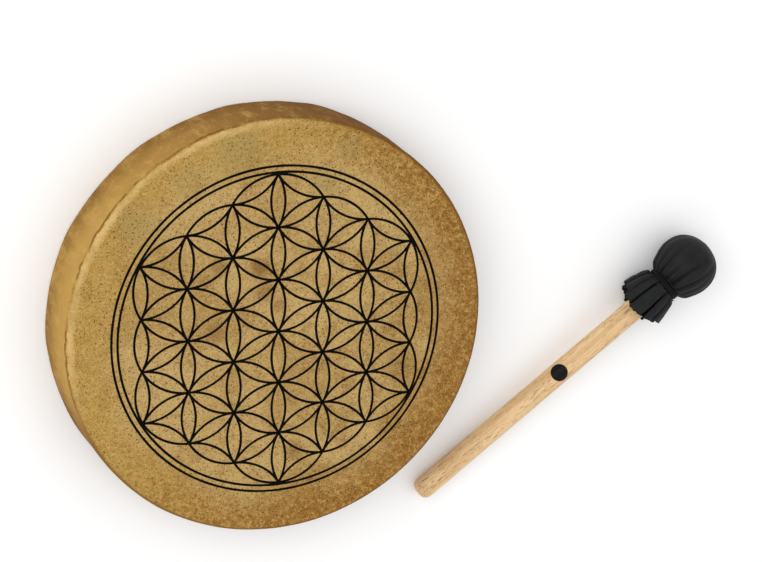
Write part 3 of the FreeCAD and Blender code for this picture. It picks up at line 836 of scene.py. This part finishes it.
def printed_line(centre, radius, start, end, steps, lift):
    """A closed flat strip along an arc of the pattern, laid on the relief of the head."""
    vertices = []
    turn = Matrix.Rotation(PATTERN_TURN, 2)
    for step in range(steps + 1):
        angle = start + (end - start) * step / steps
        away = Vector((math.cos(angle), math.sin(angle)))
        worn = 1 + 0.10 * smooth_noise(*(centre + away * radius) / (12 * MM))
        for side, level in ((-1, -LINE_SINKS), (1, -LINE_SINKS), (1, LINE_STANDS), (-1, LINE_STANDS)):
            x, y = turn @ (centre + away * (radius + side * worn * LINE_WIDTH / 2)) + PATTERN_OFFSET.xy
            vertices.append(DRUM_CENTRE + Vector((x, y, DRUM_DEPTH + head_relief(x, y) + level + lift)))
    if end - start == FULL_TURN:
        return vertices[:-4], grid_faces(steps, 4, closed=True)
    ends = [(0, 1, 2, 3), tuple(4 * steps + side for side in range(4))]
    return vertices, grid_faces(steps + 1, 4) + ends


def make_pattern(material):
    """Every circle's arcs inside its neighbours, and the two rings round them all."""
    points = lattice()
    strips = []
    for middle in points:
        for other in points:
            if abs((other - middle).length - 1) > SAME_PLACE:
                continue
            # the arc of this circle from one neighbour to the next, both of which must be on the lattice
            start = math.atan2(other.y - middle.y, other.x - middle.x)
            end = start + ARC_TURN
            last = middle + Vector((math.cos(end), math.sin(end)))
            lift = LIFT_STEP * (len(strips) % LIFT_LEVELS)
            if min((last - point).length for point in points) < SAME_PLACE:
                centre = middle * CIRCLE_RADIUS
                strips.append(printed_line(centre, CIRCLE_RADIUS, start, end, ARC_STEPS, lift))
    for start, end, centre in outer_arcs(points):
        strips.append(printed_line(centre * CIRCLE_RADIUS, CIRCLE_RADIUS, start, end, ARC_STEPS, 0))
    for radius in RING_RADII:
        strips.append(printed_line(Vector((0, 0)), radius, 0, FULL_TURN, RING_STEPS, RING_LIFT))
    pattern = mesh_object("printed_pattern", *joined(strips))
    for polygon in pattern.data.polygons:
        polygon.use_smooth = False
    return finish_piece(pattern, "drum", "hide", material)


def outer_arcs(points):
    """The arcs along the rim of the lattice, whose circles have their centres just outside it."""
    arcs = []
    for first in points:
        for second in points:
            along = second - first
            if abs(along.length - 1) > SAME_PLACE:
                continue
            centre = first + Matrix.Rotation(-ARC_TURN, 2) @ along
            if min((centre - point).length for point in points) > SAME_PLACE:
                start = math.atan2(first.y - centre.y, first.x - centre.x)
                arcs.append((start, start - ARC_TURN, centre))
    return arcs


# ---------------------------------------------------------------- lacing, grips and knot

WRAP_LOW, WRAP_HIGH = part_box("grip_wrap_right")
WRAP_STRIP = 7.5 * MM
WRAP_SINKS = 0.5 * MM
WRAP_COLUMNS = 72
WRAP_ROWS = 96


def rounded_rectangle(half_width, half_height, corner, count):
    """Evenly spaced points round a rectangle with round corners, about the origin."""
    straight = [2 * (half_height - corner), 2 * (half_width - corner)] * 2
    bend = math.pi * corner / 2
    total = sum(straight) + 4 * bend
    centres = [(half_width - corner, half_height - corner), (-half_width + corner, half_height - corner),
               (-half_width + corner, -half_height + corner), (half_width - corner, -half_height + corner)]
    points = []
    for step in range(count):
        along = total * step / count
        for side in range(4):
            away = Vector((math.cos(side * math.pi / 2), math.sin(side * math.pi / 2)))
            forward = Vector((-away.y, away.x))
            centre = Vector(centres[side])
            if along < straight[side]:
                points.append(centre + away * corner - forward * (straight[side] - along))
                break
            along -= straight[side]
            if along < bend:
                turn = along / corner
                points.append(centre + (away * math.cos(turn) + forward * math.sin(turn)) * corner)
                break
            along -= bend
    return points


def wrap_shell():
    """A sleeve wound from one strip: each turn lies on the last and ends in a small step."""
    half_width = (WRAP_HIGH.y - WRAP_LOW.y) / 2
    half_height = (WRAP_HIGH.z - WRAP_LOW.z) / 2
    thickness = 1.5 * MM
    middle = (WRAP_LOW.z + WRAP_HIGH.z) / 2
    start = WRAP_LOW.x - DRUM_CENTRE.x
    length = WRAP_HIGH.x - WRAP_LOW.x
    outer = rounded_rectangle(half_width, half_height, 3 * MM, WRAP_COLUMNS)
    inner = rounded_rectangle(half_width - thickness, half_height - thickness, 1.4 * MM, WRAP_COLUMNS)
    vertices = []
    for row in range(WRAP_ROWS + 1):
        along = length * row / WRAP_ROWS
        for column, point in enumerate(outer):
            turns = along / WRAP_STRIP - column / WRAP_COLUMNS
            share = turns - math.floor(turns)
            step = 0.55 * MM * smooth_step(0, 0.10, share) * (1 - 0.65 * share)
            ends = smooth_step(0, 1.2 * MM, min(along, length - along))
            away = Vector(point).normalized() * (step * ends - WRAP_SINKS)
            vertices.append((start + along, point.x + away.x, middle + point.y + away.y))
    for row in range(WRAP_ROWS, -1, -1):
        along = length * row / WRAP_ROWS
        vertices += [(start + along, point.x, middle + point.y) for point in inner]
    return vertices, grid_faces(2 * (WRAP_ROWS + 1), WRAP_COLUMNS, closed=True)


def make_wraps(material):
    vertices, faces = wrap_shell()
    for turn, side in enumerate(["right", "top", "left", "bottom"]):
        place = DRUM_FRAME @ Matrix.Rotation(math.radians(90 * turn), 4, "Z")
        wrap = mesh_object("wound_grip_" + side, [place @ Vector(vertex) for vertex in vertices], faces)
        finish_piece(wrap, "drum", "wrap_suede", material, "grip_wrap_" + side)


def make_knot(material):
    """The lace's end tied in an overhand knot, pulled tight to the size of its CAD piece."""
    low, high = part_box("lacing_knot")
    centre = (low + high) / 2
    lace = 1.25 * MM
    reach = (high - low) / 2 - Vector((lace, lace, lace))
    loop = []
    for step in range(90):
        angle = FULL_TURN * step / 90
        x = (math.sin(angle) + 2 * math.sin(2 * angle)) / 3
        y = (math.cos(angle) - 2 * math.cos(2 * angle)) / 3
        z = -math.sin(3 * angle)
        loop.append(centre + Vector((x * reach.x, y * reach.y, z * reach.z * 0.9)))
    knot = mesh_object("tied_knot", *tube_along(loop, lace, 12, closed=True))
    finish_piece(knot, "drum", "lace_rawhide", material, "lacing_knot")


# ---------------------------------------------------------------- the beater's head

COVER_COLUMNS = 192
COVER_THICKNESS = 1.1 * MM
BALL_ROWS = 52
NECK_ROWS = 8
SKIRT_LOBES = 11
SKIRT_TEETH_PER_LOBE = 5
COLUMNS_PER_LOBE = 30
SKIRT_ROWS = 26
PINNED_ROWS = 2

# How far the simulations may move a point of the cover and of the skirt.
BALL_CAP = 0.9 * MM
SKIRT_CAP = 2.5 * MM


def make_creases():
    """Where the gathered leather folds in: angle, depth, width and how far each runs up the ball."""
    draw = random.Random(11)
    creases = []
    count = 34
    for index in range(count):
        strong = index % 2 == 1
        angle = FULL_TURN * (index + draw.uniform(-0.4, 0.4)) / count
        depth = draw.uniform(1.5, 2.5) * MM if strong else draw.uniform(0.6, 1.2) * MM
        width = draw.uniform(0.95, 1.25) * MM if strong else draw.uniform(0.6, 0.85) * MM
        reach = draw.uniform(22, 40) * MM if strong else draw.uniform(12, 28) * MM
        lean = draw.uniform(-0.35, 0.35)
        creases.append((angle, depth, width, reach, lean))
    return creases


CREASES = make_creases()


def ball_radius_at(angle):
    """The head's outline by angle from the tip: a little flat at the tip and full round the shoulders."""
    return BALL_RADIUS * (1 - 0.045 * bell(angle, 0.55) + 0.012 * bell(angle - 1.05, 0.45)) - 0.2 * MM


def head_profile():
    """(along, radius, distance from the neck) for each ring of the cover, from tip to waist."""
    shoulder = BINDING_ALONG + 3.4 * MM
    neck_angle = math.acos(shoulder / BALL_RADIUS)
    rows = []
    for row in range(1, BALL_ROWS + 1):
        angle = neck_angle * row / BALL_ROWS
        full = 2.3 * MM * smooth_step(neck_angle - 0.55, neck_angle, angle)
        radius = ball_radius_at(angle)
        rows.append((radius * math.cos(angle), radius * math.sin(angle) + full))
    last_along, last_radius = rows[-1]
    for row in range(1, NECK_ROWS + 1):
        share = row / NECK_ROWS
        along = last_along + (WAIST_ALONG - last_along) * share
        narrowing = (NECK_RADIUS - 0.3 * MM - last_radius) * smooth_step(0, 0.35, share)
        rows.append((along, last_radius + narrowing))
    distances = [0.0]
    for before, after in zip(reversed(rows[:-1]), reversed(rows[1:])):
        distances.append(distances[-1] + math.dist(before, after))
    return [(along, radius, away) for (along, radius), away in zip(rows, reversed(distances))]


def crease_depth(angle, radius, away):
    """How far the leather is drawn in at a point of the cover."""
    total = 0.0
    for crease_angle, depth, width, reach, lean in CREASES:
        gap = angle - crease_angle - lean * (away / (60 * MM)) ** 2
        gap = (gap + math.pi) % FULL_TURN - math.pi
        spread = width * (1 + away / (40 * MM))
        total += depth * bell(gap * radius, spread) * bell(away, reach)
    return min(total, 3.0 * MM)


def make_head_cover(material, padding):
    """The leather drawn over the ball: smooth at the tip, gathered into creases at the neck."""
    tip = ball_radius_at(0)
    vertices = [around_beater(tip, 0, 0)]
    shade_in_folds = [0.0]
    profile = head_profile()
    for along, radius, away in profile:
        for column in range(COVER_COLUMNS):
            angle = FULL_TURN * column / COVER_COLUMNS
            lumps = 0.45 * MM * smooth_noise(along / 0.02, 1.5 * math.cos(angle), 1.5 * math.sin(angle))
            drawn = crease_depth(angle, radius, away) + 0.2 * MM - lumps
            if along < BINDING_ALONG + 3 * MM:
                drawn *= 0.3
            reach = max(0.0, radius - drawn * min(1.0, radius / (12 * MM)))
            inwards = along * (1 - 0.5 * drawn / BALL_RADIUS) if along > -10 * MM else along
            vertices.append(around_beater(inwards, reach, angle))
            # how much painted shade the material gives this point, more deep in a crease
            shade_in_folds.append(drawn / (2.2 * MM))
    faces = [(0, 1 + (column + 1) % COVER_COLUMNS, 1 + column) for column in range(COVER_COLUMNS)]
    faces += [tuple(1 + index for index in face) for face in grid_faces(len(profile), COVER_COLUMNS)]
    cover = mesh_object("head_cover", vertices, faces)
    mark_folds(cover, shade_in_folds)
    pinned = range(1 + (BALL_ROWS + 1) * COVER_COLUMNS, len(vertices))
    settle(cover, pinned, [padding], cap=BALL_CAP, pressure=1.5, growth=0.03)
    smooth_once(cover)
    thicken(cover)
    finish_piece(cover, "beater", "cover_leather", material, "beater_cover")


def mark_folds(piece, shade_in_folds):
    """Stores how deep in a fold each vertex lies, for the material to paint shade into it."""
    attribute = piece.data.attributes.new("fold", "FLOAT", "POINT")
    attribute.data.foreach_set("value", shade_in_folds)


def smooth_once(piece):
    finer = piece.modifiers.new("finer", "SUBSURF")
    finer.levels = 1
    apply_modifiers(piece)


def thicken(piece):
    """Gives a single surface the thickness of the leather, inwards."""
    shell = piece.modifiers.new("thickness", "SOLIDIFY")
    shell.thickness = COVER_THICKNESS
    shell.offset = -1
    apply_modifiers(piece)


# No leather comes lower than this, so that the head lies on the table and not in it.
LOWEST = 0.25 * MM

# A simulation works best on pieces about a metre across, so the head is enlarged for it.
SIMULATION_SCALE = 12
SIMULATION_FRAMES = 24
CONTACT_GAP = 0.004


def enlarged(piece, name):
    """A copy of a piece for a simulation, enlarged about the head's middle."""
    mesh = piece.data.copy()
    mesh.transform(Matrix.Scale(SIMULATION_SCALE, 4) @ Matrix.Translation(-HEAD_CENTRE))
    copy = bpy.data.objects.new(name, mesh)
    bpy.context.scene.collection.objects.link(copy)
    return copy


def settle(piece, pinned, obstacles, cap, pressure=0.0, growth=0.0, weight=0.0):
    """Lets a piece settle as a sheet of leather over its obstacles. A point moves at most by cap."""
    scene = bpy.context.scene
    solid = [enlarged(obstacle, "obstacle") for obstacle in obstacles]
    for copy in solid:
        copy.modifiers.new("collision", "COLLISION")
        copy.collision.thickness_outer = CONTACT_GAP
    sheet = enlarged(piece, "sheet")
    sheet.vertex_groups.new(name="pinned").add(list(pinned), 1.0, "REPLACE")
    cloth = sheet.modifiers.new("cloth", "CLOTH")
    cloth.settings.quality = 6
    cloth.settings.mass = 0.4
    cloth.settings.tension_stiffness = 40
    cloth.settings.compression_stiffness = 40
    cloth.settings.shear_stiffness = 15
    cloth.settings.bending_stiffness = 2.5
    cloth.settings.air_damping = 4
    cloth.settings.vertex_group_mass = "pinned"
    cloth.settings.shrink_min = -growth
    cloth.settings.use_pressure = pressure > 0
    cloth.settings.uniform_pressure_force = pressure
    cloth.settings.effector_weights.gravity = weight
    cloth.collision_settings.distance_min = CONTACT_GAP
    cloth.point_cache.frame_end = SIMULATION_FRAMES
    for frame_number in range(1, SIMULATION_FRAMES + 1):
        scene.frame_set(frame_number)
    settled = sheet.evaluated_get(bpy.context.evaluated_depsgraph_get()).to_mesh()
    for vertex, moved in zip(piece.data.vertices, settled.vertices):
        step = HEAD_CENTRE + moved.co / SIMULATION_SCALE - vertex.co
        vertex.co += step * min(1.0, cap / max(step.length, 1e-9))
        vertex.co.z = max(vertex.co.z, LOWEST)
    for copy in solid + [sheet]:
        bpy.data.objects.remove(copy)
    scene.frame_set(1)


def make_lobes():
    """The skirt's folds: where each starts, how wide it is, how far it stands out and how it leans."""
    draw = random.Random(8)
    weights = [draw.uniform(0.65, 1.35) for _ in range(SKIRT_LOBES)]
    lobes = []
    angle = 0.3
    for weight in weights:
        width = FULL_TURN * weight / sum(weights)
        lobes.append((angle, width, draw.uniform(6.5, 11.0) * MM, draw.uniform(-1.2, 1.2)))
        angle += width
    return lobes


def skirt_point(lobe, share, fall):
    """A point of the skirt. share says where it is across the lobe, and fall how far it is from the waist,
    from 0 to 1."""
    start, width, reach, lean = lobe
    angle = start + width * share
    open_out = fall ** 0.5
    base = NECK_RADIUS - 0.4 * MM + 2.6 * MM * smooth_step(0, 0.10, fall) + 7.0 * MM * open_out
    crown = math.sin(math.pi * share) ** 0.38
    radius = base + reach * open_out * (crown - 0.75)
    sideways = 2.4 * MM * open_out * (-0.8 * math.sin(FULL_TURN * share) + lean * math.sin(math.pi * share))
    teeth = SKIRT_TEETH_PER_LOBE * share
    tooth = 0.7 * MM * (1 - 4 * abs(teeth - math.floor(teeth) - 0.5)) * smooth_step(0.88, 1.0, fall)
    uneven = 2.0 * MM * smooth_noise(2 * math.cos(angle), 2 * math.sin(angle), 4.0) * fall
    start_along = WAIST_ALONG + 1.2 * MM
    hem = HEM_ALONG - HEM_VARIES * math.cos(2 * (angle - HEM_LONGEST))
    along = start_along + (hem - start_along) * fall - uneven - tooth
    ripple = 0.5 * MM * open_out * smooth_noise(6 * angle, 6 * fall, 1.0)
    gathers = 0.8 * crease_depth(angle, radius, 42 * MM * fall)
    turn = angle + sideways / radius
    return around_beater(along, radius + ripple - gathers, turn)


def make_skirt(material, obstacles):
    """The leather's free edge below the binding, fallen into folds, with a pinked hem."""
    lobes = make_lobes()
    vertices = []
    shade_in_folds = []
    for row in range(SKIRT_ROWS):
        fall = row / (SKIRT_ROWS - 1)
        for lobe in lobes:
            for column in range(COLUMNS_PER_LOBE):
                share = 0.5 - 0.5 * math.cos(math.pi * column / COLUMNS_PER_LOBE)
                point = skirt_point(lobe, share, fall)
                point.z = max(point.z, LOWEST)
                vertices.append(point)
                # painted shade, darkest where two lobes meet and the leather folds in
                shade_in_folds.append(1.1 * (1 - math.sin(math.pi * share)) ** 3)
    faces = grid_faces(SKIRT_ROWS, SKIRT_LOBES * COLUMNS_PER_LOBE)
    skirt = mesh_object("cover_skirt", vertices, faces)
    mark_folds(skirt, shade_in_folds)
    pinned = range(PINNED_ROWS * SKIRT_LOBES * COLUMNS_PER_LOBE)
    settle(skirt, pinned, obstacles, cap=SKIRT_CAP, growth=0.02, weight=1.0)
    smooth_once(skirt)
    thicken(skirt)
    finish_piece(skirt, "beater", "cover_leather", material, "beater_cover")


def make_padding(material):
    """The felted layer under the leather: a hollow ball with a rough surface."""
    vertices = []
    rows = 40
    columns = 72
    inside_radius = 18.2 * MM
    bore = 11 * MM
    for outer in (True, False):
        radius = BALL_RADIUS - 2.6 * MM if outer else inside_radius
        widest = math.pi - math.asin(bore / radius)
        for row in range(rows):
            angle = widest * (row + 0.5) / rows if outer else widest * (rows - row - 0.5) / rows
            for column in range(columns):
                turn = FULL_TURN * column / columns
                aside = math.sin(angle)
                way = Vector((math.cos(angle), aside * math.cos(turn), aside * math.sin(turn)))
                rough = 0.4 * MM * smooth_noise(*(way * 9)) if outer else 0
                vertices.append(BEATER_FRAME @ (way * (radius + rough)))
    faces = grid_faces(2 * rows, columns)
    faces.append(tuple(range(columns)))
    faces.append(tuple(range((2 * rows - 1) * columns, 2 * rows * columns)))
    padding = mesh_object("felt_padding", vertices, faces)
    finish_piece(padding, "beater", "padding_felt", material, "beater_padding")
    return padding


def make_binding(material):
    """Waxed cord laid up from three strands, in two turns round the neck."""
    cord = 1.2 * MM
    strand = 0.62 * MM
    pitch = 2.45 * MM
    turns = 2
    steps = 150 * turns
    around = NECK_RADIUS + cord - 0.1 * MM
    strands = []
    for number in range(3):
        points = []
        for step in range(steps + 1):
            angle = FULL_TURN * turns * step / steps
            twist = 14 * angle + FULL_TURN * number / 3
            along = BINDING_ALONG + pitch * (step / steps - 0.5) * (turns - 0.2)
            tuck = 0.9 * MM * (bell(step, 8) + bell(steps - step, 8))
            radius = around - tuck + (cord - strand) * math.cos(twist)
            along += (cord - strand) * math.sin(twist)
            points.append(around_beater(along, radius, angle))
        strands.append(tube_along(points, strand, 7))
    binding = mesh_object("wound_binding", *joined(strands))
    finish_piece(binding, "beater", "binding_cord", material, "beater_binding")


# ---------------------------------------------------------------- stage, light and camera

def make_stage():
    """A plain pale floor at the level that the drum lies on."""
    bpy.ops.mesh.primitive_plane_add(size=30, location=(0, 0, 0))
    floor = bpy.context.object
    floor.name = "floor"
    shader = Shader("pale_floor", Roughness=0.9, Specular_IOR_Level=0.1)
    shader.drive("Base Color", (0.92, 0.92, 0.92, 1))
    floor.data.materials.append(shader.material)
    return floor


def area_light(name, place, size, power):
    """A round soft light, aimed at the origin."""
    lamp = bpy.data.lights.new(name, "AREA")
    lamp.shape = "DISK"
    lamp.size = size
    lamp.energy = power
    light = bpy.data.objects.new(name, lamp)
    light.location = place
    light.rotation_euler = (-Vector(place)).to_track_quat("-Z", "Y").to_euler()
    bpy.context.scene.collection.objects.link(light)


def make_light():
    world = bpy.data.worlds.new("studio")
    world.use_nodes = True
    backdrop = world.node_tree.nodes["Background"]
    backdrop.inputs["Color"].default_value = (1, 1, 1, 1)
    backdrop.inputs["Strength"].default_value = 0.90
    bpy.context.scene.world = world
    area_light("key", place=(-1.6, 1.1, 2.1), size=2.2, power=28)
    area_light("fill", place=(1.7, -0.9, 2.0), size=2.4, power=7)
    bpy.context.scene.view_settings.view_transform = "Standard"


def make_camera():
    turn = Matrix.Rotation(CAMERA_YAW, 4, "Y") @ Matrix.Rotation(-CAMERA_PITCH, 4, "X")
    aim = DRUM_CENTRE + PATTERN_OFFSET + UP * DRUM_DEPTH
    lens = bpy.data.cameras.new("camera")
    lens.lens = CAMERA_LENS
    lens.sensor_width = 36
    lens.clip_end = 50
    camera = bpy.data.objects.new("camera", lens)
    offset = Matrix.Translation(Vector((CAMERA_RIGHT, CAMERA_UP, CAMERA_DISTANCE)))
    camera.matrix_world = Matrix.Translation(aim) @ turn @ offset
    bpy.context.scene.collection.objects.link(camera)
    bpy.context.scene.camera = camera


# ---------------------------------------------------------------- the whole set

def paint(node, material):
    """Gives a CAD piece, whose shape is already right, its material."""
    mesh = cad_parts[node].data
    mesh.materials.clear()
    mesh.materials.append(material)


def paint_cad_pieces(rawhide):
    hoop = hoop_material()
    for node in ("hoop_outer_ply", "hoop_middle_ply", "hoop_inner_ply"):
        paint(node, hoop)
    for side in ("right", "top", "left", "bottom"):
        paint("lacing_" + side, rawhide)
    paint("centre_ring", steel_material())
    paint("beater_stick", stick_material())
    paint("beater_badge", badge_material())
    paint("beater_core", rubber_material())


make_camera()
floor = make_stage()
make_light()
rawhide = cord_material("lace_rawhide", (168, 132, 84), (212, 180, 132), DRUM_FRAME)
paint_cad_pieces(rawhide)
make_hide(hide_material())
make_pattern(ink_material())
make_wraps(suede_material())
make_knot(rawhide)
leather = cover_material()
padding = make_padding(felt_material())
make_head_cover(leather, padding)
make_binding(cord_material("binding_cord", (8, 8, 9), (22, 21, 22), BEATER_FRAME))
make_skirt(leather, [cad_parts["beater_stick"], floor])

bpy.context.view_layer.update()
